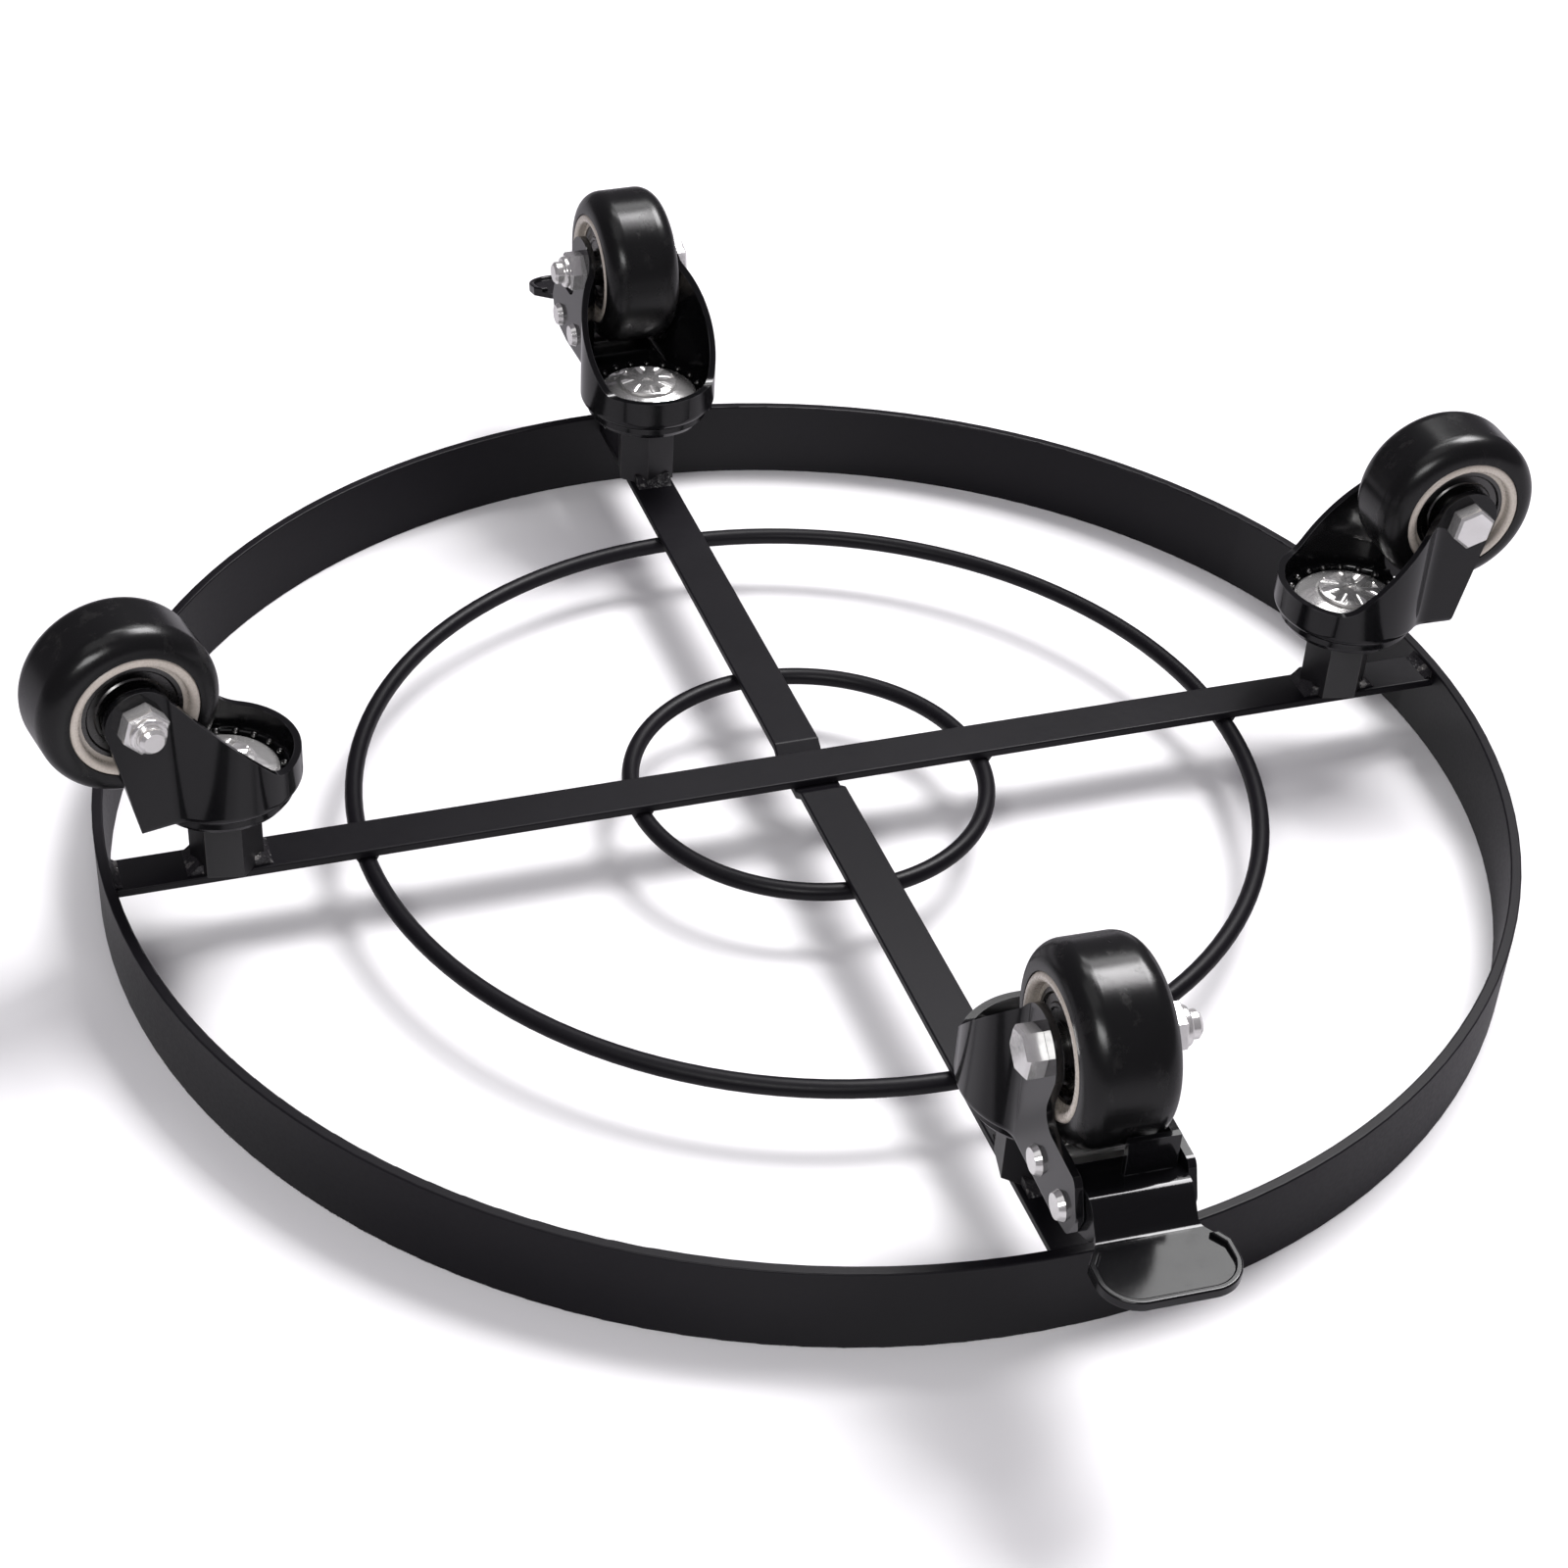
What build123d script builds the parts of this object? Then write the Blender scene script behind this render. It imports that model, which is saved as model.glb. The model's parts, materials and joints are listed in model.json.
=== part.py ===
# Drum dolly: a flat strap ring with a welded cross and two round-bar rings, carried on four
# small swivel casters, two of which have a pedal brake.
# Millimetres, +Z up, wheels down: the origin is on the floor under the middle of the ring.
# +X runs along the straight cross bar, +Y along the joggled one.
import os
from math import cos, radians, sin

from build123d import *

os.makedirs("parts", exist_ok=True)

# ---------------------------------------------------------------- driving dimensions
# Frame, drawn from the floor up
ring_outer_r = 200.0
strap_height = 25.0
strap_thickness = 3.0
bar_width = 13.5
bar_thickness = 2.5
rim_drop = 3.2              # ring edge below the bars on the caster side
wire_diameter = 5.0
wire_ring_radii = (129.0, 51.0)
joggle_flat = 8.0           # half length of the flat in the middle of the joggled bar
joggle_ramp = 4.0

# Casters
caster_reach = 166.0        # swivel axis from the ring's centre
trail = 25.0                # axle behind the swivel axis
wheel_radius = 24.0
tyre_half_width = 11.8
hub_radius = 17.2
leg_outer = 14.5            # outside face of a fork leg from the middle of the wheel
sheet = 2.0                 # fork steel
hood_radius = 21.5
plate_top = 59.6            # upper face of the fork's crown
cup_lip = 60.0
cup_top = 65.0
stem_nut_height = 21.2
stem_nut_flats = 17.0

# Fasteners
bolt_flats = 11.0
bolt_radius = 3.5
bolt_head = 4.8
bolt_nut = 6.6
stem_radius = 5.0

# Clearances
fit = 0.05                  # running fit on a radius
seat = 0.05                 # between pieces that are welded or pressed together
gap = 0.3                   # between pieces that move past each other

# Each caster's place round the ring, the direction in which it trails at rest, and how far
# its brake pedal is let up from the pressed position (None without a brake), in degrees
caster_rest = {
    "right": (0.0, -12.4, None),
    "rear": (90.0, 87.6, 14.0),
    "left": (180.0, 182.0, None),
    "front": (270.0, 272.1, 0.0),
}

# ---------------------------------------------------------------- worked-out levels
bar_low = cup_top + stem_nut_height
bar_high = bar_low + bar_thickness
ring_low = bar_low - rim_drop
ring_high = ring_low + strap_height
ring_inner_r = ring_outer_r - strap_thickness
wire_r = wire_diameter / 2
wire_z = bar_high + wire_r
axle_z = wheel_radius
plate_low = plate_top - sheet
leg_inner = leg_outer - sheet


def save(part, name):
    """Label one finished piece and write its STEP file."""
    part.label = name
    export_step(part, f"parts/{name}.step")


def placed(shape, locations):
    """Copies of a piece at each of the locations, as one node."""
    with BuildPart() as copies:
        with Locations(*locations):
            add(shape)
    return copies.part


# ================================================================ frame
# Strap ring, butt-welded at the rear, where the joint leaves a small nick in the lower edge.
seam_angle = 99.0
nick_width = 1.6
nick_depth = 0.9
with BuildPart() as ring:
    with BuildSketch(Plane.XY.offset(ring_low)):
        Circle(ring_outer_r)
        Circle(ring_inner_r, mode=Mode.SUBTRACT)
    extrude(amount=strap_height)
    fillet(ring.edges().filter_by(GeomType.CIRCLE), 0.5)
    with PolarLocations(ring_outer_r, 1, start_angle=seam_angle):
        with Locations((0, 0, ring_low)):
            Box(4 * strap_thickness, nick_width, 2 * nick_depth, mode=Mode.SUBTRACT)
save(ring.part, "ring")

# The bars end on the inside of the ring, so both are cut to its curve.
bar_end_r = ring_inner_r - seat
edge_ease = 0.5

with BuildPart() as bar_limit:
    Cylinder(bar_end_r, 4 * ring_high)

with BuildPart() as cross_bar_straight:
    with BuildSketch(Plane.XY.offset(bar_low)):
        Rectangle(2 * ring_outer_r, bar_width)
    extrude(amount=bar_thickness)
    fillet(cross_bar_straight.edges().filter_by(Axis.X), edge_ease)
    add(bar_limit.part, mode=Mode.INTERSECT)
save(cross_bar_straight.part, "cross_bar_straight")

# The second bar steps up by one bar thickness to pass over the first.
joggle_low = bar_high + seat
joggle_end = joggle_flat + joggle_ramp
with BuildPart() as cross_bar_joggled:
    with BuildSketch(Plane.YZ):
        with BuildLine():
            lower = Polyline(
                (-ring_outer_r, bar_low),
                (-joggle_end, bar_low),
                (-joggle_flat, joggle_low),
                (joggle_flat, joggle_low),
                (joggle_end, bar_low),
                (ring_outer_r, bar_low),
            )
            upper = Polyline(
                (-ring_outer_r, bar_high),
                (-joggle_end, bar_high),
                (-joggle_flat, joggle_low + bar_thickness),
                (joggle_flat, joggle_low + bar_thickness),
                (joggle_end, bar_high),
                (ring_outer_r, bar_high),
            )
            Line(lower @ 0, upper @ 0)
            Line(lower @ 1, upper @ 1)
        make_face()
    extrude(amount=bar_width / 2, both=True)
    bends = cross_bar_joggled.edges().filter_by(Axis.X)
    bends = bends.filter_by(lambda e: joggle_flat - 1 < abs(e.center().Y) < joggle_end + 1)
    fillet(bends, 1.2)
    long_edges = cross_bar_joggled.edges().filter_by(Axis.Y)
    fillet(long_edges.filter_by(lambda e: e.length > ring_outer_r / 2), edge_ease)
    add(bar_limit.part, mode=Mode.INTERSECT)
save(cross_bar_joggled.part, "cross_bar_joggled")

# Round-bar rings lie on the bars and carry the drum's bottom.
for wire_ring_r, name in zip(wire_ring_radii, ("wire_ring_large", "wire_ring_small")):
    with BuildPart() as wire_ring:
        with BuildSketch(Plane.XZ):
            with Locations((wire_ring_r, wire_z + seat)):
                Circle(wire_r)
        revolve(axis=Axis.Z)
    save(wire_ring.part, name)

# ---------------------------------------------------------------- welds
# Fillets beside each round bar where it crosses a flat one.
weld_leg = 2.4
with BuildPart() as wire_welds:
    for wire_ring_r in wire_ring_radii:
        sweep_deg = 2 * 57.3 * (bar_width / 2 - 1.5) / wire_ring_r
        for side in (-1, 1):
            with BuildSketch(Plane.XZ.rotated((0, 0, -sweep_deg / 2))):
                with BuildLine():
                    Polyline(
                        (wire_ring_r, bar_high + seat),
                        (wire_ring_r + side * (wire_r + 1.2), bar_high + seat),
                        (wire_ring_r + side * wire_r, bar_high + weld_leg),
                        (wire_ring_r, bar_high + weld_leg),
                        close=True,
                    )
                make_face()
                with Locations((wire_ring_r, wire_z + seat)):
                    Circle(wire_r + seat, mode=Mode.SUBTRACT)
            revolve(axis=Axis.Z, revolution_arc=sweep_deg)
with BuildPart() as wire_welds_all:
    with PolarLocations(0, 4):
        add(wire_welds.part)
save(wire_welds_all.part, "wire_welds")

# Fillets where each bar end meets the ring, on the caster side.
end_weld_leg = 2.2
with BuildPart() as bar_end_weld:
    with BuildSketch(Plane.XZ):
        with BuildLine():
            Polyline(
                (bar_end_r, bar_low - seat),
                (bar_end_r - end_weld_leg, bar_low - seat),
                (bar_end_r - 0.8, bar_low - 1.1),
                (bar_end_r, bar_low - end_weld_leg),
                close=True,
            )
        make_face()
    revolve(axis=Axis.Z, revolution_arc=3.4)
with BuildPart() as bar_end_welds:
    with Locations(*[Location((0, 0, 0), (0, 0, 90 * i - 1.7)) for i in range(4)]):
        add(bar_end_weld.part)
save(bar_end_welds.part, "bar_end_welds")

caster_bearings = [bearing for bearing, _, _ in caster_rest.values()]
caster_seats = [
    Location((caster_reach * cos(radians(a)), caster_reach * sin(radians(a)), 0), (0, 0, a))
    for a in caster_bearings
]

# Long hexagon nuts stand on the bars, and the caster stems screw up into them.
with BuildPart() as stem_nut:
    with BuildSketch(Plane.XY.offset(cup_top)):
        RegularPolygon(stem_nut_flats / 2, 6, major_radius=False, rotation=12)
    extrude(amount=stem_nut_height - seat)
    chamfer(stem_nut.edges().group_by(Axis.Z)[0], 0.6)
    with Locations((0, 0, cup_top)):
        Cylinder(stem_radius + fit, 2 * (stem_nut_height - 1.5), mode=Mode.SUBTRACT)
save(placed(stem_nut.part, caster_seats), "stem_nuts")

# A weld runs along the two sides of each nut that lie across the bar.
nut_weld_leg = 3.0
with BuildPart() as nut_weld:
    for side in (-1, 1):
        with BuildSketch(Plane.XZ):
            with BuildLine():
                Polyline(
                    (side * 6.0, bar_low - seat),
                    (side * (stem_nut_flats / 2 + nut_weld_leg), bar_low - seat),
                    (side * (stem_nut_flats / 2 + 1.2), bar_low - 1.6),
                    (side * (stem_nut_flats / 2 - 0.2), bar_low - nut_weld_leg),
                    (side * 6.0, bar_low - nut_weld_leg),
                    close=True,
                )
            make_face()
        extrude(amount=bar_width / 2 - 1.2, both=True)
    with BuildSketch(Plane.XY.offset(cup_top)):
        RegularPolygon(stem_nut_flats / 2 + seat, 6, major_radius=False, rotation=12)
    extrude(amount=stem_nut_height, mode=Mode.SUBTRACT)
save(placed(nut_weld.part, caster_seats), "nut_welds")

# ================================================================ caster pieces
# Each is drawn about the swivel axis, with the wheel trailing along +X.

# Threaded stem, kingpin and its star-staked end in one piece.
stake_radius = 9.0
stake_top = 53.8
stake_low = 52.2
stem_length = 19.0
with BuildPart() as stem:
    with BuildSketch(Plane.XZ):
        with BuildLine():
            Polyline(
                (0, stake_low + 0.9),
                (3.0, stake_low + 0.4),
                (stake_radius - 1.6, stake_low),
                (stake_radius, stake_low + 0.5),
                (stake_radius - 0.4, stake_top),
                (stem_radius, stake_top),
                (stem_radius, cup_top + stem_length - 1.0),
                (stem_radius - 1.0, cup_top + stem_length),
                (0, cup_top + stem_length),
                close=True,
            )
        make_face()
    revolve(axis=Axis.Z)
    petals = 8
    with Locations((0, 0, stake_low - 1.1)):
        with PolarLocations(5.6, petals):
            Cylinder(1.9, 6.4, rotation=(0, 78, 0), mode=Mode.SUBTRACT)
    with Locations((0, 0, stake_low)):
        Cone(0.6, 2.2, 2.0, mode=Mode.SUBTRACT)

# Pressed cup that roofs the upper ball race.
cup_radius = 19.2
with BuildPart() as race_cup:
    with BuildSketch(Plane.XZ):
        with BuildLine():
            Polyline(
                (stem_radius + seat, cup_top - seat),
                (15.6, cup_top - seat),
                (18.0, cup_top - 1.5),
                (cup_radius, cup_lip + 1.8),
                (cup_radius, cup_lip),
                (cup_radius - 1.5, cup_lip),
                (cup_radius - 1.6, cup_lip + 1.4),
                (16.8, cup_top - 2.6),
                (15.0, cup_top - 1.6),
                (stem_radius + seat, cup_top - 1.6),
                close=True,
            )
        make_face()
    revolve(axis=Axis.Z)

# Two rings of balls, one each side of the fork's crown.
lower_race = 2.7
washer_radius = 15.6
with BuildPart() as race_balls:
    with Locations((0, 0, (plate_top + cup_top - 1.6) / 2)):
        with PolarLocations(13.2, 16):
            Sphere((cup_top - 1.6 - plate_top) / 2 - gap)
    with Locations((0, 0, plate_low - lower_race / 2)):
        with PolarLocations(washer_radius + 1.4, 20):
            Sphere(lower_race / 2 - gap)

# Dished zinc washer that holds the lower balls, clamped by the staked end.
washer_top = plate_low - lower_race
with BuildPart() as race_washer:
    with BuildSketch(Plane.XZ):
        with BuildLine():
            Polyline(
                (stem_radius + seat, stake_top + seat),
                (stake_radius + 0.8, stake_top + seat),
                (washer_radius - 0.9, stake_top + 2.1),
                (washer_radius, stake_top + 2.9),
                (washer_radius - 0.5, stake_top + 3.3),
                (stake_radius + 0.2, washer_top),
                (stem_radius + seat, washer_top),
                close=True,
            )
        make_face()
    revolve(axis=Axis.Z)

# ---------------------------------------------------------------- fork
rim_z = 49.5                # lower edge of the hood in front
leg_top_x = 26.5
leg_bottom = axle_z - 15.0
leg_reach = 70.0
foot_radius = 9.2
braked_foot_radius = 10.5


def foot_point(radius, angle):
    """A point on the rounded end of a leg, by its angle round the axle."""
    return (trail + radius * cos(radians(angle)), axle_z + radius * sin(radians(angle)))


def fork_plan(inset, length):
    """Plan outline of the hood and its two legs, inside or outside the sheet."""
    Circle(hood_radius - inset)
    with Locations((length / 2, 0)):
        Rectangle(length, 2 * (leg_outer - inset))


def crease_vertices(sketch, inset):
    """The inside corners between the round hood and the flat legs."""
    return sketch.vertices().filter_by(
        lambda v: 1 < v.X < hood_radius and abs(abs(v.Y) - leg_outer + inset) < 0.01
    )


with BuildPart() as fork_blank:
    with BuildSketch(Plane.XY.offset(leg_bottom)) as blank_plan:
        fork_plan(0, leg_reach)
        fillet(crease_vertices(blank_plan, 0), 7.0)
    extrude(amount=plate_top - leg_bottom)
    fillet(fork_blank.edges().group_by(Axis.Z)[-1], 2.8)

with BuildPart() as fork_hollow:
    with BuildSketch(Plane.XY.offset(leg_bottom)) as hollow_plan:
        fork_plan(sheet, leg_reach + 5)
        fillet(crease_vertices(hollow_plan, sheet), 9.0)
    extrude(amount=plate_low - leg_bottom)
    fillet(fork_hollow.edges().group_by(Axis.Z)[-1], 1.4)


def side_outline(rear_points, radius, rim_turn_x):
    """Side view of a fork: crown, rear edge, rounded foot and sloping hood rim."""
    with BuildLine() as outline:
        rear = Polyline(
            (-hood_radius - 2, plate_top + 1), *rear_points, foot_point(radius, 5)
        )
        foot = ThreePointArc(rear @ 1, foot_point(radius, -80), foot_point(radius, 204))
        Polyline(foot @ 1, (rim_turn_x, rim_z), (-hood_radius - 2, rim_z), rear @ 0)
    make_face(outline.edges())


def corners(sketch, points):
    """The corners of a side view nearest to the given points."""
    return [sketch.vertices().sort_by_distance(point)[0] for point in points]


rim_turn_x = -9.5           # where the hood's rim starts down towards the axle
with BuildPart() as plain_side:
    with BuildSketch(Plane.XZ) as plain_view:
        side_outline([(leg_top_x, plate_top + 1)], foot_radius, rim_turn_x)
        fillet(corners(plain_view, [(rim_turn_x, rim_z)]), 8.0)
    extrude(amount=2 * hood_radius, both=True)

# On a braked fork the legs run on to the rear as two arms that hold the pedal.
braked_turn_x = -12.0
braked_crown_x = 40.0
arm_low = 39.0
arm_end = 55.5
stop_pin = (32.3, 51.2)
pedal_pin = (47.0, 51.2)
pin_radius = 2.5
arm_corners = [(31.5, arm_low), (arm_end - 3.6, arm_low), (arm_end, 48.0), (52.4, 55.2)]
with BuildPart() as braked_side:
    with BuildSketch(Plane.XZ) as braked_view:
        side_outline(
            [(braked_crown_x, plate_top + 1), (braked_crown_x + 2.0, 57.2)] + arm_corners[::-1],
            braked_foot_radius,
            braked_turn_x,
        )
        fillet(corners(braked_view, [(braked_turn_x, rim_z)]), 6.0)
        fillet(corners(braked_view, arm_corners[1:]), 2.5)
        fillet(corners(braked_view, arm_corners[:1]), 5.0)
    extrude(amount=2 * hood_radius, both=True)


def fork_from(side, crown_end_x):
    """A fork pressed from sheet, trimmed to one of the two side views."""
    with BuildPart() as fork:
        add(fork_blank.part)
        add(fork_hollow.part, mode=Mode.SUBTRACT)
        add(side, mode=Mode.INTERSECT)
        with Locations((crown_end_x + leg_reach / 2, 0, plate_top)):
            Box(leg_reach, 2 * leg_inner, 4 * sheet, mode=Mode.SUBTRACT)
        with Locations((0, 0, plate_top)):
            Cylinder(stem_radius + fit, 4 * sheet, mode=Mode.SUBTRACT)
        with Locations((trail, 0, axle_z)):
            Cylinder(bolt_radius + seat, 4 * leg_outer, rotation=(90, 0, 0), mode=Mode.SUBTRACT)
    return fork.part


plain_fork = fork_from(plain_side.part, 20.0)
with BuildPart() as braked_fork:
    add(fork_from(braked_side.part, braked_crown_x))
    with Locations(*[(x, 0, z) for x, z in (stop_pin, pedal_pin)]):
        Cylinder(pin_radius + seat, 4 * leg_outer, rotation=(90, 0, 0), mode=Mode.SUBTRACT)

# ---------------------------------------------------------------- axle
# The axle runs along local Y; its parts are drawn on a plane whose normal is that axis.
axle_plane = Plane(origin=(trail, 0, axle_z), x_dir=(1, 0, 0), z_dir=(0, 1, 0))
bolt_tip = 24.0

with BuildPart() as axle_bolt:
    with BuildSketch(axle_plane.offset(leg_outer + seat)):
        RegularPolygon(bolt_flats / 2, 6, major_radius=False, rotation=20)
    extrude(amount=bolt_head)
    outer_rim = axle_bolt.faces().sort_by(Axis.Y)[-1].edges()
    chamfer(outer_rim, 0.7)
    with BuildSketch(axle_plane.offset(-bolt_tip)):
        Circle(bolt_radius)
    extrude(amount=bolt_tip + leg_outer + 1)
    chamfer(axle_bolt.faces().sort_by(Axis.Y)[0].edges(), 0.8)

with BuildPart() as axle_nut:
    with BuildSketch(axle_plane.offset(-leg_outer - seat)):
        RegularPolygon(bolt_flats / 2, 6, major_radius=False, rotation=47)
    extrude(amount=-bolt_nut + 1.6)
    chamfer(axle_nut.faces().sort_by(Axis.Y)[0].edges(), 0.6)
    with BuildSketch(axle_plane.offset(-leg_outer - seat)):
        Circle(bolt_flats / 2 - 0.6)
    extrude(amount=-bolt_nut)
    fillet(axle_nut.faces().sort_by(Axis.Y)[0].edges(), 0.8)
    with BuildSketch(axle_plane):
        Circle(bolt_radius + seat)
    extrude(amount=-2 * bolt_tip, mode=Mode.SUBTRACT)

# ---------------------------------------------------------------- wheel
bearing_radius = 13.4
inner_race_radius = 6.0
bearing_in = 2.4
bearing_out = 9.4
hub_half_width = 12.1
hub_lip_radius = 14.6
wheel_axis = Axis((trail, 0, axle_z), (0, 1, 0))
# Sections are drawn with the radius along X and the width along Y.
section_plane = Plane(origin=(trail, 0, axle_z), x_dir=(1, 0, 0), z_dir=(0, 0, 1))


def turned(sections):
    """Revolve closed outlines round the axle, each as a separate solid."""
    with BuildPart() as piece:
        for outline in sections:
            with BuildSketch(section_plane):
                with BuildLine() as edge_line:
                    Polyline(*outline, close=True)
                make_face(edge_line.edges())
            revolve(axis=wheel_axis)
    return piece.part


with BuildPart() as tyre:
    with BuildSketch(section_plane) as tyre_section:
        with Locations(((hub_radius + seat + wheel_radius) / 2, 0)):
            Rectangle(wheel_radius - hub_radius - seat, 2 * tyre_half_width)
        outside_corners = tyre_section.vertices().group_by(Axis.X)[-1]
        fillet(outside_corners, wheel_radius - hub_radius - 0.6)
    revolve(axis=wheel_axis)

with BuildPart() as hub:
    with BuildSketch(section_plane) as hub_section:
        with Locations(((bearing_radius + hub_radius) / 2, 0)):
            Rectangle(hub_radius - bearing_radius, 2 * hub_half_width)
        for side in (-1, 1):
            with Locations((bearing_radius, side * hub_half_width)):
                Rectangle(2 * (hub_lip_radius - bearing_radius), 5.4, mode=Mode.SUBTRACT)
        lip_corners = hub_section.vertices().filter_by(
            lambda v: abs(v.Y) > hub_half_width - 0.1
        )
        fillet(lip_corners, 1.2)
        with Locations((bearing_radius - 1, 0)):
            Rectangle(2.2, 2 * (bearing_in - seat))
    revolve(axis=wheel_axis)

shield_in = bearing_out - 0.5
shield_ridge = 9.6
race_edge = bearing_radius - 1.6
bearings = turned(
    [
        (
            (bearing_radius - seat, side * bearing_in),
            (bearing_radius - seat, side * bearing_out),
            (race_edge + 0.5, side * bearing_out),
            (race_edge, side * shield_in),
            (shield_ridge + 0.4, side * shield_in),
            (shield_ridge, side * (shield_in + 0.4)),
            (shield_ridge - 0.8, side * (shield_in + 0.4)),
            (shield_ridge - 1.2, side * shield_in),
            (inner_race_radius + fit, side * shield_in),
            (inner_race_radius + fit, side * (shield_in - 0.6)),
            (race_edge, side * (shield_in - 0.6)),
            (race_edge, side * bearing_in),
        )
        for side in (-1, 1)
    ]
)

half_gap = leg_inner - seat
axle_sleeve = turned(
    [
        (
            (bolt_radius + seat, -half_gap),
            (5.5, -half_gap),
            (5.5, -bearing_out),
            (inner_race_radius, -bearing_out),
            (inner_race_radius, -bearing_in),
            (5.2, -bearing_in),
            (5.2, bearing_in),
            (inner_race_radius, bearing_in),
            (inner_race_radius, bearing_out),
            (5.5, bearing_out),
            (5.5, half_gap),
            (bolt_radius + seat, half_gap),
        )
    ]
)

# ---------------------------------------------------------------- brake
# The pedal is drawn pressed down, with its shoe just clear of the tyre.
pedal_sheet = 1.6
ear_outer = leg_inner - gap
tongue_half_width = 16.8
tongue_start = 62.0
tongue_end = 82.5
tongue_top = 49.2
lip_height = 1.5
lip_width = 1.7
pedal_bend = (55.8, 41.6)
pedal_line = [(42.0, 45.4), pedal_bend, (61.4, tongue_top), (tongue_end + 2, tongue_top - 0.9)]
shoe_x = 49.0
shoe_tip = 32.4

with BuildSketch() as tongue_plan:
    with BuildLine():
        Polyline(
            (30, -ear_outer),
            (tongue_start, -ear_outer),
            (tongue_start + 7, -tongue_half_width),
            (tongue_end, -tongue_half_width),
            (tongue_end, tongue_half_width),
            (tongue_start + 7, tongue_half_width),
            (tongue_start, ear_outer),
            (30, ear_outer),
            close=True,
        )
    make_face()
    fillet(tongue_plan.vertices().group_by(Axis.X)[-1], 9.0)
    fillet(tongue_plan.vertices().group_by(Axis.X)[1], 4.0)

with BuildPart() as brake_pedal:
    with BuildSketch(Plane.XZ):
        with BuildLine():
            FilletPolyline(*pedal_line, radius=3.4)
        trace(line_width=pedal_sheet)
    extrude(amount=tongue_half_width, both=True)
    extrude(tongue_plan.sketch, 2 * plate_top, mode=Mode.INTERSECT)
    # A lip stands round the rim of the tongue.
    with BuildSketch(Plane.XY.offset(tongue_top - pedal_sheet / 2 - lip_height)):
        add(tongue_plan.sketch)
        offset(amount=-lip_width, mode=Mode.SUBTRACT)
        with Locations((tongue_start - 18, 0)):
            Rectangle(44, 4 * tongue_half_width, mode=Mode.SUBTRACT)
    extrude(amount=lip_height + 0.9)
    lip_edge = brake_pedal.faces().filter_by(Axis.Z).sort_by(Axis.Z)[0].edges()
    fillet(lip_edge, 0.5)
    # The shoe is a tab that stands up from the pedal's inner end.
    with BuildSketch(Plane.XZ.offset(ear_outer - 1.2)):
        with Locations((shoe_x, (shoe_tip + 43.6) / 2)):
            Rectangle(pedal_sheet, 43.6 - shoe_tip)
    extrude(amount=-12.6)
    # Side ears hang on the pin, inside the fork's arms.
    for side in (-1, 1):
        with BuildSketch(Plane.XZ.offset(side * ear_outer)):
            with BuildLine():
                Polyline(
                    (43.0, 45.4),
                    (55.4, 41.7),
                    (61.0, 48.8),
                    (59.0, 51.5),
                    (50.6, 55.3),
                    (45.0, 55.3),
                    (42.8, 51.5),
                    close=True,
                )
            make_face()
        extrude(amount=-side * pedal_sheet)
    with Locations((pedal_pin[0], 0, pedal_pin[1])):
        Cylinder(pin_radius + fit, 4 * leg_outer, rotation=(90, 0, 0), mode=Mode.SUBTRACT)

with BuildPart() as brake_rivets:
    for x, z in (stop_pin, pedal_pin):
        pin_plane = Plane(origin=(x, 0, z), x_dir=(1, 0, 0), z_dir=(0, 1, 0))
        with BuildSketch(pin_plane):
            Circle(pin_radius)
        extrude(amount=leg_outer + 0.5, both=True)
        for side in (-1, 1):
            with BuildSketch(pin_plane.offset(side * (leg_outer + seat))):
                Circle(3.8)
            extrude(amount=side * 1.5, taper=25)

# Leaf spring wrapped round the inner rivet, with its fold in front of the pedal.
with BuildPart() as brake_spring:
    with BuildSketch(Plane.XZ):
        with BuildLine():
            wrap = CenterArc(stop_pin, pin_radius + seat + 0.4, 33, 180)
            Polyline(wrap @ 0, (38.6, 46.6), (41.6, 48.4))
        trace(line_width=0.8)
    extrude(amount=11.0, both=True)
    with Locations((45, -8.5, 45)):
        Box(20, 10.0, 30, mode=Mode.SUBTRACT)

# ================================================================ casters in place
wheel_pieces = {
    "stem": stem.part,
    "race_cup": race_cup.part,
    "race_washer": race_washer.part,
    "race_balls": race_balls.part,
    "axle_bolt": axle_bolt.part,
    "axle_nut": axle_nut.part,
    "axle_sleeve": axle_sleeve,
    "bearings": bearings,
    "hub": hub.part,
    "tyre": tyre.part,
}
brake_pieces = {
    "fork": braked_fork.part,
    "brake_rivets": brake_rivets.part,
    "brake_spring": brake_spring.part,
}
pedal_axis = Axis((pedal_pin[0], 0, pedal_pin[1]), (0, 1, 0))
for where, (bearing, rest, let_up) in caster_rest.items():
    x = caster_reach * cos(radians(bearing))
    y = caster_reach * sin(radians(bearing))
    if let_up is None:
        pieces = wheel_pieces | {"fork": plain_fork}
    else:
        tipped = brake_pedal.part.rotate(pedal_axis, -let_up)
        pieces = wheel_pieces | brake_pieces | {"brake_pedal": tipped}
    for name, piece in pieces.items():
        save(placed(piece, [Location((x, y, 0), (0, 0, rest))]), f"{name}_{where}")
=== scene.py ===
# Looks, light and camera for the drum dolly.
# The dolly stands on its wheels in the shared frame, but it is looked at as it lies for sale:
# on the ring's upper edge, with its casters up. "Upturned" below means that lying position.
import json
from math import cos, radians, sin

import bpy
from mathutils import Matrix, Vector


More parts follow.
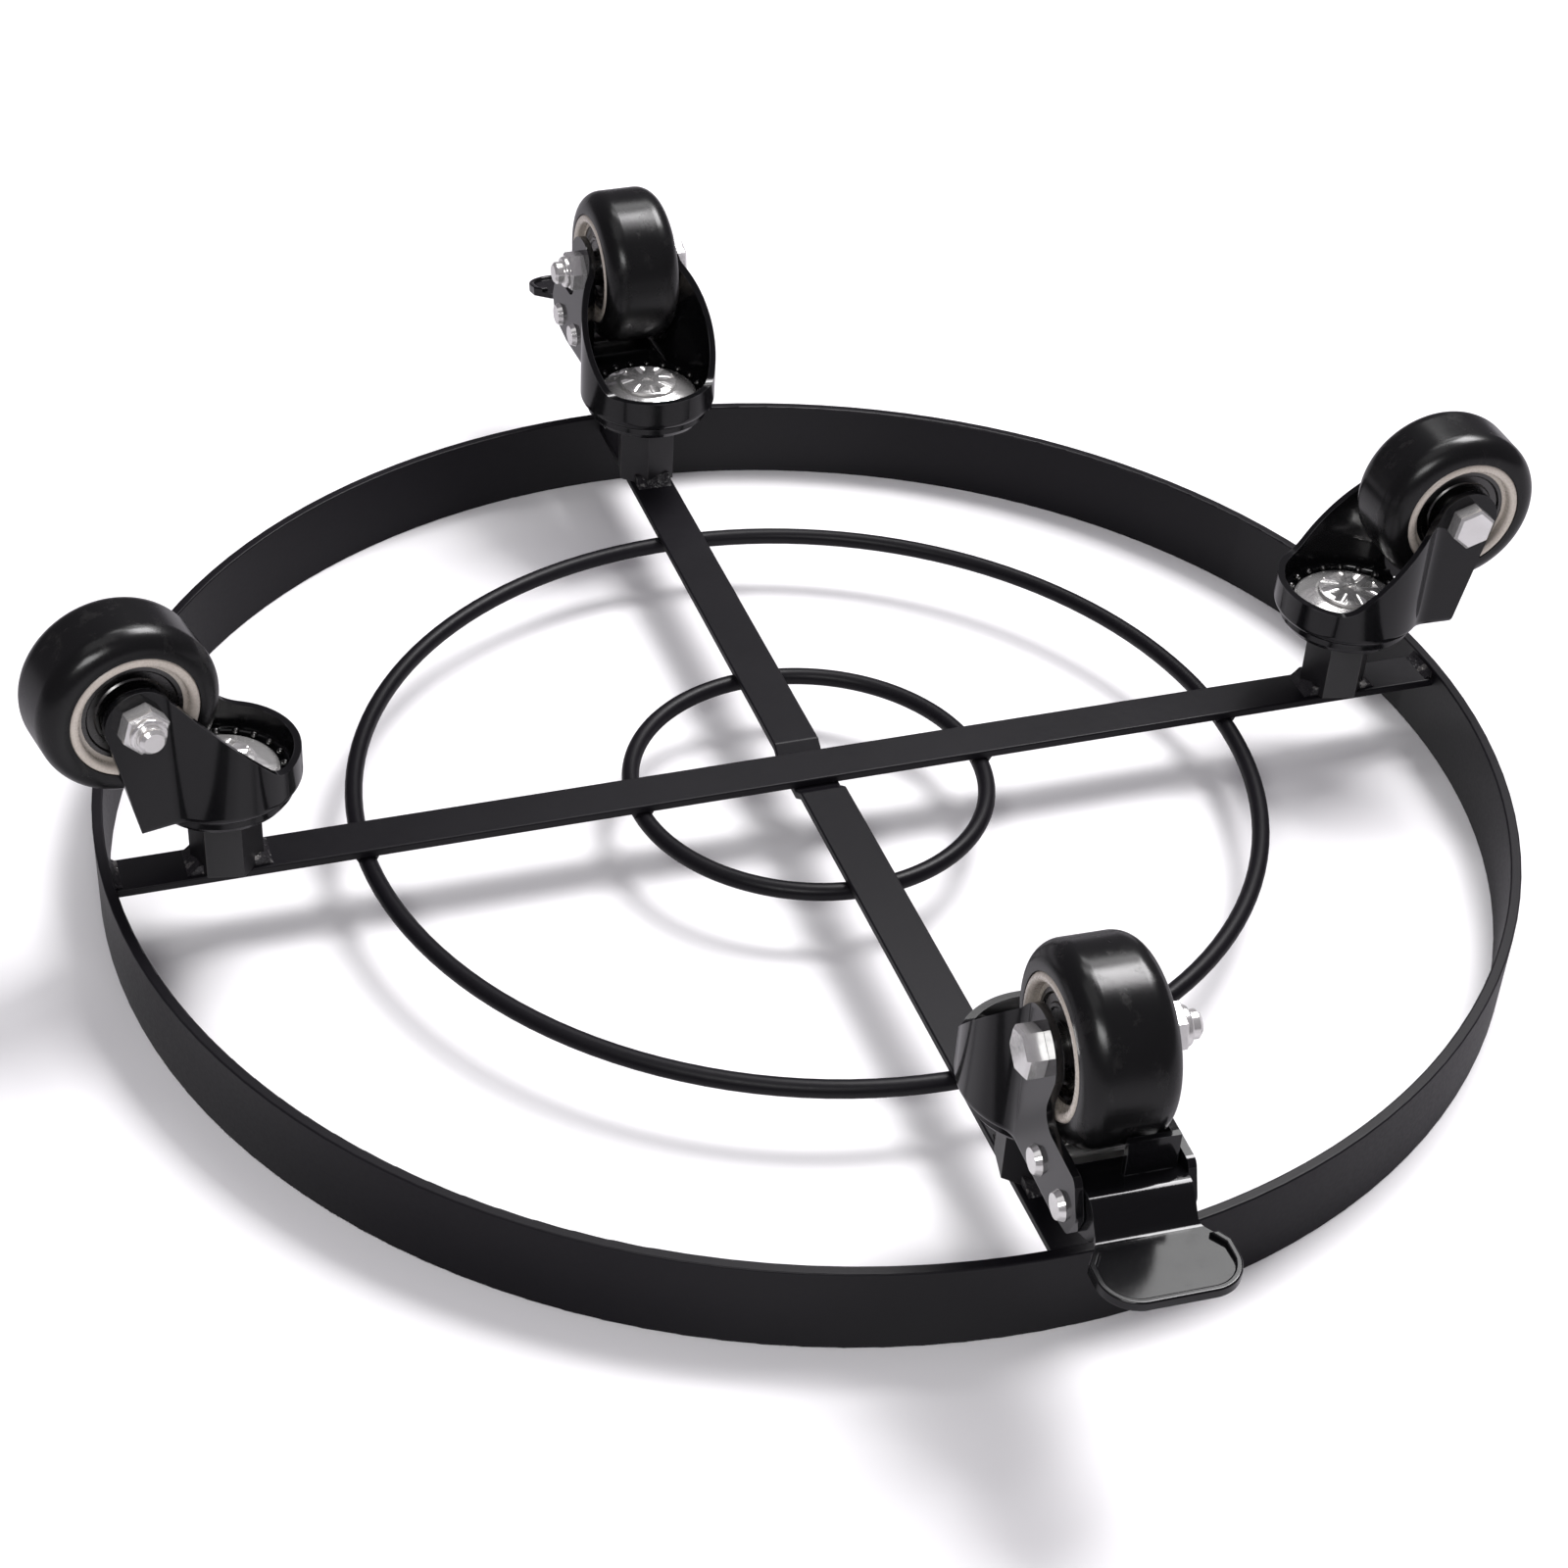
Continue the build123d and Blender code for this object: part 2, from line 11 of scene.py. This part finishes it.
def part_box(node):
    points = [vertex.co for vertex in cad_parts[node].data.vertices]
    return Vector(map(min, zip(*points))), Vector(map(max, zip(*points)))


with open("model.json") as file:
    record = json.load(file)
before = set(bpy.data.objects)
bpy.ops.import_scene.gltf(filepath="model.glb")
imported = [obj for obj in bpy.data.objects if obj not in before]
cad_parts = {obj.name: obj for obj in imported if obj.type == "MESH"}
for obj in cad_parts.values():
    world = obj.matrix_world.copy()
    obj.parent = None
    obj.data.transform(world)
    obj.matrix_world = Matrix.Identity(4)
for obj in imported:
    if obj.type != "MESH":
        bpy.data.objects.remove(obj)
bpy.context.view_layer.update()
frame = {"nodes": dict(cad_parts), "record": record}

nodes = frame["nodes"]
ring_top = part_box("ring")[1].z

# ---------------------------------------------------------------- upturned coordinates
TURN = radians(20.57)       # how far the cross is turned from the viewer's right


def upturned_direction(x, y, z):
    """A direction given as right, away and up for the upturned dolly, in the shared frame."""
    return Vector((-(x * cos(TURN) + y * sin(TURN)), y * cos(TURN) - x * sin(TURN), -z))


def upturned(x, y, z):
    """A point given as right, away and up from the middle of the upturned dolly's floor."""
    return upturned_direction(x, y, z) + Vector((0, 0, ring_top))


# ---------------------------------------------------------------- material helpers
class Nodes:
    """A material under construction, with short calls for the nodes it needs."""

    def __init__(self, name):
        self.material = bpy.data.materials.new(name)
        self.material.use_nodes = True
        self.tree = self.material.node_tree
        self.shader = self.tree.nodes["Principled BSDF"]
        self.output = self.tree.nodes["Material Output"]
        self.place = self.tree.nodes.new("ShaderNodeTexCoord").outputs["Object"]

    def node(self, kind, inputs=None, **settings):
        made = self.tree.nodes.new(kind)
        for key, value in settings.items():
            setattr(made, key, value)
        for key, value in (inputs or {}).items():
            self.give(made.inputs[key], value)
        return made

    def give(self, socket, value):
        if isinstance(value, bpy.types.NodeSocket):
            self.tree.links.new(value, socket)
        else:
            socket.default_value = value

    def noise(self, scale, detail=3.0, roughness=0.5, stretch=None):
        where = self.place
        if stretch:
            where = self.node("ShaderNodeMapping", {0: where, "Scale": stretch}).outputs[0]
        made = self.node(
            "ShaderNodeTexNoise",
            {"Vector": where, "Scale": scale, "Detail": detail, "Roughness": roughness},
        )
        return made.outputs[0]

    def ramp(self, value, low, high, to_low=0.0, to_high=1.0):
        made = self.node(
            "ShaderNodeMapRange",
            {0: value, 1: low, 2: high, 3: to_low, 4: to_high},
        )
        return made.outputs[0]

    def mix(self, factor, first, second):
        made = self.node("ShaderNodeMix", data_type="RGBA")
        for socket, value in ((0, factor), (6, first), (7, second)):
            self.give(made.inputs[socket], value)
        return made.outputs[2]

    def times(self, first, second):
        return self.node("ShaderNodeMath", {0: first, 1: second}, operation="MULTIPLY").outputs[0]

    def add(self, first, second):
        return self.node("ShaderNodeMath", {0: first, 1: second}, operation="ADD").outputs[0]

    def edges(self, radius, low=0.02, high=0.25):
        """1 along convex and concave edges, 0 on open surfaces."""
        rounded = self.node("ShaderNodeBevel", {"Radius": radius}, samples=4).outputs[0]
        normal = self.node("ShaderNodeNewGeometry").outputs["Normal"]
        dot = self.node(
            "ShaderNodeVectorMath", {0: rounded, 1: normal}, operation="DOT_PRODUCT"
        ).outputs["Value"]
        return self.ramp(dot, 1.0 - low, 1.0 - high)

    def bump(self, height, distance, strength=1.0, over=None):
        made = self.node(
            "ShaderNodeBump", {"Height": height, "Distance": distance, "Strength": strength}
        )
        if over is not None:
            self.give(made.inputs["Normal"], over)
        return made.outputs[0]

    def set(self, **values):
        names = {"color": "Base Color", "normal": "Normal", "metallic": "Metallic",
                 "roughness": "Roughness", "coat": "Coat Weight", "coat_roughness": "Coat Roughness",
                 "specular": "Specular IOR Level", "sheen": "Sheen Weight"}
        for key, value in values.items():
            self.give(self.shader.inputs[names[key]], value)


def grey(value, warmth=0.0):
    return (value * (1 + warmth), value, value * (1 - warmth), 1.0)


def frame_paint():
    """Satin black powder coat on the ring and bars: fine orange peel, rubbed edges."""
    m = Nodes("frame_paint")
    cloud = m.noise(9.0, 4.0)
    speck = m.noise(900.0, 2.0)
    dark, light = (0.0050, 0.0045, 0.0060, 1), (0.0075, 0.0068, 0.0088, 1)
    base = m.mix(m.ramp(cloud, 0.35, 0.65), dark, light)
    worn = m.times(m.edges(0.0009), m.ramp(m.noise(60.0, 4.0), 0.45, 0.7))
    color = m.mix(m.times(worn, 0.5), base, (0.075, 0.07, 0.075, 1))
    rough = m.add(m.ramp(cloud, 0.3, 0.7, 0.34, 0.44), m.ramp(speck, 0.3, 0.7, -0.03, 0.03))
    peel = m.bump(m.noise(700.0, 2.0), 0.00002, 0.5)
    m.set(color=color, roughness=rough, normal=peel, specular=0.17)
    return m.material


def caster_black():
    """Glossy black coating on pressed caster steel: soft press waves and fine scuffs."""
    m = Nodes("caster_black")
    cloud = m.noise(25.0, 3.0)
    scuff = m.ramp(m.noise(160.0, 5.0, 0.6), 0.6, 0.78)
    worn = m.times(m.edges(0.0006), m.ramp(m.noise(130.0, 4.0), 0.42, 0.66))
    color = m.mix(m.times(worn, 0.55), (0.0042, 0.0042, 0.0048, 1), (0.1, 0.1, 0.105, 1))
    rough = m.add(m.ramp(cloud, 0.3, 0.7, 0.1, 0.17), m.times(scuff, 0.06))
    wave = m.bump(m.noise(45.0, 1.0), 0.00012, 0.35)
    fine = m.bump(m.noise(1100.0, 2.0), 0.00001, 0.4, over=wave)
    m.set(color=color, roughness=rough, normal=fine, specular=0.42)
    return m.material


def nut_black():
    """Black-oxide stem nuts, a little duller than the frame's paint."""
    m = Nodes("nut_black")
    cloud = m.noise(60.0, 4.0)
    worn = m.times(m.edges(0.0007), m.ramp(m.noise(150.0, 4.0), 0.4, 0.65))
    color = m.mix(m.times(worn, 0.6), (0.011, 0.0105, 0.012, 1), (0.12, 0.115, 0.11, 1))
    m.set(color=color, roughness=m.ramp(cloud, 0.3, 0.7, 0.28, 0.45),
          normal=m.bump(m.noise(500.0, 3.0), 0.00003, 0.5))
    return m.material


def weld_bead():
    """Painted weld beads: lumpy, with bright spatter."""
    m = Nodes("weld_bead")
    lump = m.noise(300.0, 4.0, 0.6)
    spatter = m.ramp(m.noise(260.0, 2.0), 0.6, 0.66)
    color = m.mix(spatter, (0.014, 0.013, 0.015, 1), (0.3, 0.29, 0.28, 1))
    m.set(color=color, roughness=m.ramp(lump, 0.3, 0.7, 0.22, 0.4),
          metallic=m.times(spatter, 0.9), normal=m.bump(lump, 0.0012, 1.0))
    return m.material


def zinc(name, tone, low, high, metallic=1.0):
    """Plated or bare steel: uneven brightness under a dull film, and fine scratches."""
    m = Nodes(name)
    cloud = m.noise(55.0, 3.0, 0.5)
    scratch = m.noise(900.0, 3.0, 0.5, (0.15, 1.0, 1.0))
    film = m.ramp(cloud, 0.4, 0.75)
    color = m.mix(film, grey(tone, 0.01), grey(tone * 0.78, 0.02))
    rough = m.add(m.ramp(cloud, 0.3, 0.7, low, high), m.ramp(scratch, 0.35, 0.65, -0.03, 0.05))
    m.set(color=color, metallic=metallic, roughness=rough,
          normal=m.bump(scratch, 0.00002, 0.5, over=m.bump(cloud, 0.00004, 0.2)))
    return m.material


def hub_plastic():
    """Beige-grey hub moulding with a low gloss, faint speckle and grime along its edges."""
    m = Nodes("hub_plastic")
    cloud = m.noise(45.0, 4.0)
    speck = m.noise(1500.0, 2.0)
    clean = m.mix(m.ramp(cloud, 0.3, 0.7), (0.42, 0.375, 0.33, 1), (0.52, 0.47, 0.42, 1))
    grime = m.times(m.edges(0.001), m.ramp(m.noise(260.0, 3.0), 0.4, 0.7))
    color = m.mix(m.times(grime, 0.5), clean, (0.12, 0.11, 0.1, 1))
    m.set(color=color, roughness=m.ramp(speck, 0.3, 0.7, 0.22, 0.34),
          normal=m.bump(speck, 0.00002, 0.5))
    return m.material


def tyre_black():
    """Satin black elastomer: waxy sheen, faint dusty scuffs on the tread."""
    m = Nodes("tyre_black")
    cloud = m.noise(38.0, 4.0)
    scuff = m.ramp(m.noise(160.0, 6.0, 0.65, (1.0, 1.0, 0.35)), 0.55, 0.75)
    color = m.mix(m.times(scuff, 0.35), (0.0052, 0.0052, 0.0055, 1), (0.035, 0.033, 0.032, 1))
    rough = m.add(m.ramp(cloud, 0.3, 0.7, 0.2, 0.3), m.times(scuff, 0.14))
    m.set(color=color, roughness=rough, normal=m.bump(m.noise(600.0, 3.0), 0.00003, 0.35),
          specular=0.36)
    return m.material


finishes = {
    "frame_paint": frame_paint(),
    "caster_black": caster_black(),
    "black_nut": nut_black(),
    "weld": weld_bead(),
    "zinc": zinc("zinc", 0.92, 0.12, 0.24, 0.78),
    "bearing_steel": zinc("bearing_steel", 0.12, 0.2, 0.34),
    "spring_steel": zinc("spring_steel", 0.22, 0.25, 0.4),
    "hub_plastic": hub_plastic(),
    "tyre": tyre_black(),
}

for part in frame["record"]["subparts"]:
    node = nodes[part["node"]]
    for material_slot in node.material_slots:
        material_slot.material = finishes[part["material_slot"]]

# ---------------------------------------------------------------- stage
# What the black paint mirrors is darker than what lights it, as on a flagged-off studio set.
FLOOR_WHITE = (0.93, 0.925, 0.935, 1)
MIRRORED_FLOOR = (0.4, 0.39, 0.41, 1)
FLOOR_ROUGHNESS = 0.6
UPTURNED_REACH = 9.0        # half width of each floor
STANDING_REACH = 0.8
WORLD_TINT = (0.95, 0.88, 1.0, 1)
WORLD = 0.22
MIRRORED_WORLD = 0.12
BACKDROP = 1.2              # white wherever the camera looks past a floor


def one_sided(name, color, roughness):
    """Stage paint that shows on a plane's front only, so the camera can look through its back."""
    m = Nodes(name)
    mirrored = m.node("ShaderNodeLightPath").outputs["Is Glossy Ray"]
    m.set(color=m.mix(mirrored, color, MIRRORED_FLOOR), roughness=roughness, specular=0.2)
    back = m.node("ShaderNodeNewGeometry").outputs["Backfacing"]
    clear = m.node("ShaderNodeBsdfTransparent").outputs[0]
    blend = m.node("ShaderNodeMixShader", {0: back, 1: m.shader.outputs[0], 2: clear})
    m.tree.links.new(blend.outputs[0], m.output.inputs["Surface"])
    return m.material


def floor(name, height, facing_up, reach, material):
    """A square floor at a height, facing up or down."""
    mesh = bpy.data.meshes.new(name)
    corners = [(-reach, -reach, height), (reach, -reach, height),
               (reach, reach, height), (-reach, reach, height)]
    mesh.from_pydata(corners if facing_up else corners[::-1], [], [(0, 1, 2, 3)])
    mesh.materials.append(material)
    made = bpy.data.objects.new(name, mesh)
    bpy.context.scene.collection.objects.link(made)
    made.visible_shadow = False
    return made


# One floor under the upturned dolly, seen only from its wheels' side, and one under the
# wheels, seen only from above.
stage_paint = one_sided("stage_paint", FLOOR_WHITE, FLOOR_ROUGHNESS)
floor("upturned_floor", ring_top, False, UPTURNED_REACH, stage_paint)
standing_floor = floor("standing_floor", 0.0, True, STANDING_REACH, stage_paint)
for ray in ("diffuse", "glossy", "transmission", "volume_scatter"):
    setattr(standing_floor, f"visible_{ray}", False)

bpy.context.scene.view_settings.view_transform = "Standard"

world = bpy.data.worlds.new("world")
bpy.context.scene.world = world
world.use_nodes = True
world_tree = world.node_tree
sky = world_tree.nodes["Background"]
sky.inputs["Color"].default_value = WORLD_TINT
sky_level = world_tree.nodes.new("ShaderNodeMapRange")
sky_level.inputs["To Min"].default_value = WORLD
sky_level.inputs["To Max"].default_value = MIRRORED_WORLD
backdrop_level = world_tree.nodes.new("ShaderNodeMapRange")
backdrop_level.inputs["To Max"].default_value = BACKDROP
ray_kind = world_tree.nodes.new("ShaderNodeLightPath")
world_tree.links.new(ray_kind.outputs["Is Glossy Ray"], sky_level.inputs["Value"])
world_tree.links.new(ray_kind.outputs["Is Camera Ray"], backdrop_level.inputs["Value"])
world_tree.links.new(sky_level.outputs["Result"], backdrop_level.inputs["To Min"])
world_tree.links.new(backdrop_level.outputs["Result"], sky.inputs["Strength"])


def softbox(name, place, aim, width, height, power, color=(1, 1, 1)):
    """An area light at a place, turned to face its aim. Sizes in metres, power in watts."""
    data = bpy.data.lights.new(name, "AREA")
    data.shape = "RECTANGLE"
    data.size = width
    data.size_y = height
    data.energy = power
    data.color = color
    made = bpy.data.objects.new(name, data)
    made.location = place
    made.rotation_euler = (aim - place).to_track_quat("-Z", "Y").to_euler()
    bpy.context.scene.collection.objects.link(made)


middle = upturned(0, 0, 0.02)
front_floor = upturned(0, -0.4, 0)
front_pedal = upturned(0.07, -0.24, 0.06)
softbox("upturned_key", upturned(0.76, 0.86, 1.95), middle, 0.9, 0.9, 51, (1.0, 0.985, 1.0))
softbox("upturned_top", upturned(-0.5, -0.2, 1.9), middle, 1.2, 1.2, 3)
softbox("upturned_back", upturned(0.0, 0.75, 1.7), middle, 1.0, 0.3, 5)
softbox("upturned_glint", upturned(0.2, 1.07, 1.28), front_pedal, 0.75, 0.25, 3)
softbox("upturned_front", upturned(-0.1, -0.9, 0.8), front_floor, 0.5, 0.3, 5)
softbox("standing_key", upturned(-1.0, 0.8, -1.6), middle, 1.2, 1.2, 15)
softbox("standing_front", upturned(0.6, -1.4, -1.2), middle, 1.2, 1.2, 9)

# ---------------------------------------------------------------- camera
LENS = 67.23
SENSOR = 36.0
SHIFT = 0.0072
NEAREST = 0.01              # start of the clipping range
ELEVATION = radians(37.11)
ROLL = radians(3.62)
DISTANCE = 0.8626
AIM_RIGHT = -0.0102
AIM_AWAY = 0.0186

camera_data = bpy.data.cameras.new("camera")
camera_data.lens = LENS
camera_data.sensor_width = SENSOR
camera = bpy.data.objects.new("camera", camera_data)
bpy.context.scene.collection.objects.link(camera)
bpy.context.scene.camera = camera

eye = upturned(AIM_RIGHT, AIM_AWAY - DISTANCE * cos(ELEVATION), DISTANCE * sin(ELEVATION))
forward = upturned_direction(0, cos(ELEVATION), -sin(ELEVATION))
level_right = upturned_direction(1, 0, 0)
level_down = upturned_direction(0, -sin(ELEVATION), -cos(ELEVATION))
across = level_right * cos(ROLL) - level_down * sin(ROLL)
upward = -(level_right * sin(ROLL) + level_down * cos(ROLL))
turned = Matrix((across, upward, -forward)).transposed().to_4x4()
camera.matrix_world = Matrix.Translation(eye) @ turned
camera_data.shift_x = SHIFT
camera_data.clip_start = NEAREST
